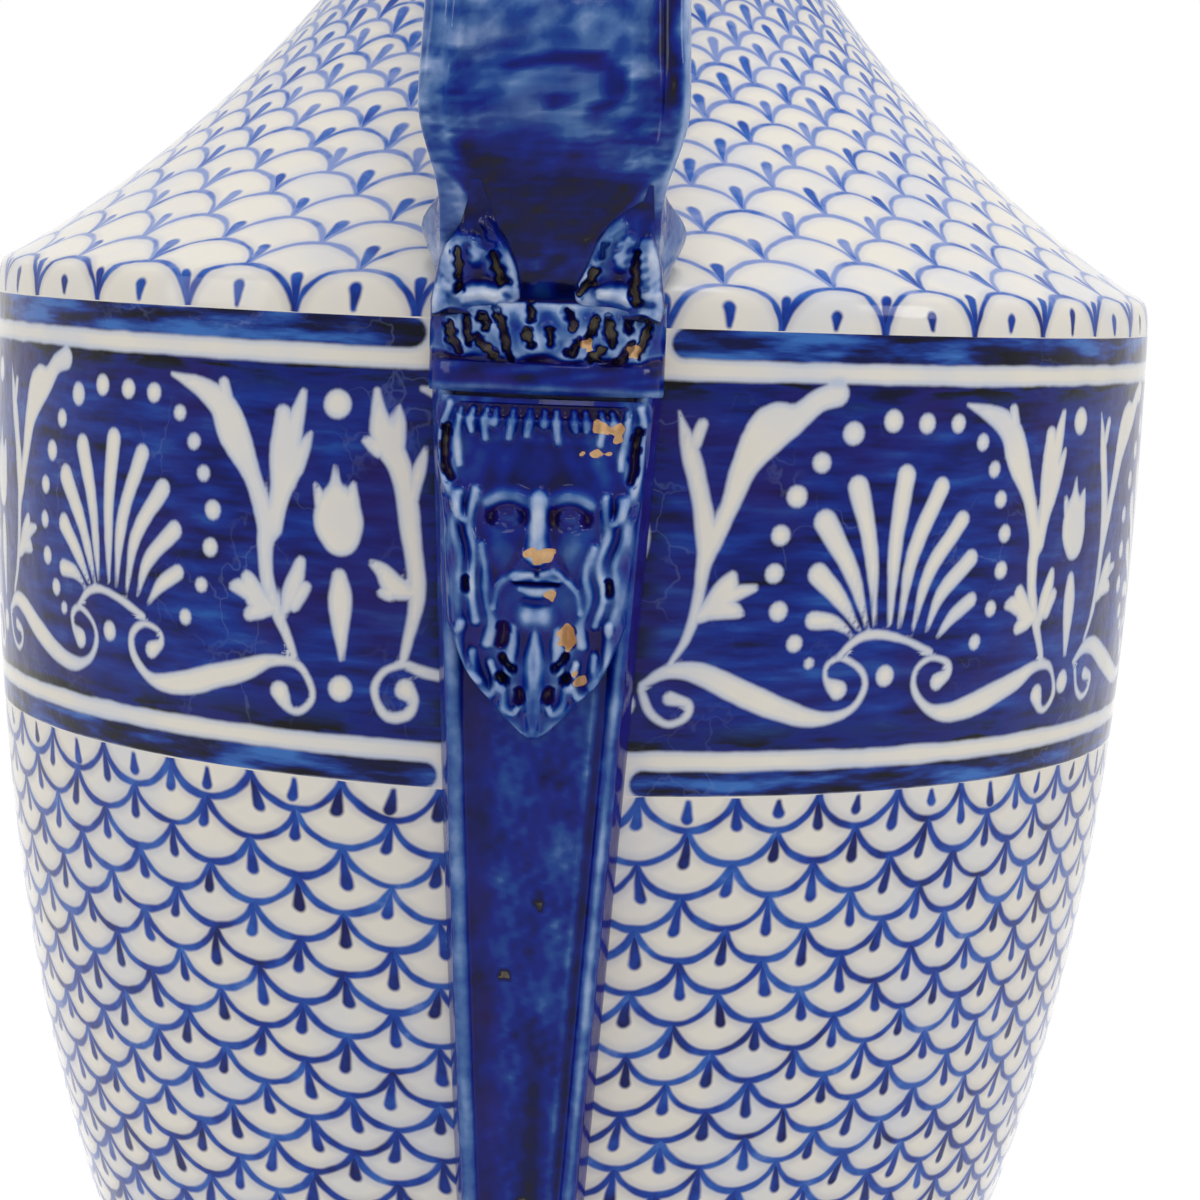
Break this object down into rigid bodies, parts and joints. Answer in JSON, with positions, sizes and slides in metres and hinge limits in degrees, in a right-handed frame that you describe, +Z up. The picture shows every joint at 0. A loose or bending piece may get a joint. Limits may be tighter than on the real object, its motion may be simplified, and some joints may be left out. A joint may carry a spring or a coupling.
{
  "type": "two-handled amphora vase",
  "caption": "Tall glazed earthenware amphora vase on a spreading foot, with an open mouth and strap handles on bearded mask reliefs.",
  "frame": {"origin": "centre of the standing ring, on the surface the vase stands on", "axes": "+Z up along the axis of the vase; the handles lie at -Y (front) and +Y (back)"},
  "size_m": [0.3, 0.3428, 0.649],
  "materials": {
    "white_glaze": "glossy white tin glaze with cobalt lines, unglazed standing ring",
    "scale_painting": "glossy white tin glaze painted with blue scales",
    "frieze_painting": "glossy tin glaze, cobalt ground with white palmettes and scrolls",
    "cobalt_glaze": "glossy brushed cobalt glaze, darker where it pools"
  },
  "bodies": {
    "root": {"foot": "white_glaze", "stem_ring": "cobalt_glaze", "lower_body": "scale_painting", "frieze_drum": "frieze_painting", "shoulder": "scale_painting", "neck": "scale_painting", "lip": "cobalt_glaze", "handle_strap_front": "cobalt_glaze", "leaf_left_front": "cobalt_glaze", "leaf_right_front": "cobalt_glaze", "crown_front": "cobalt_glaze", "mask_front": "cobalt_glaze", "pilaster_front": "cobalt_glaze", "handle_strap_back": "cobalt_glaze", "leaf_left_back": "cobalt_glaze", "leaf_right_back": "cobalt_glaze", "crown_back": "cobalt_glaze", "mask_back": "cobalt_glaze", "pilaster_back": "cobalt_glaze"}
  },
  "joints": []
}
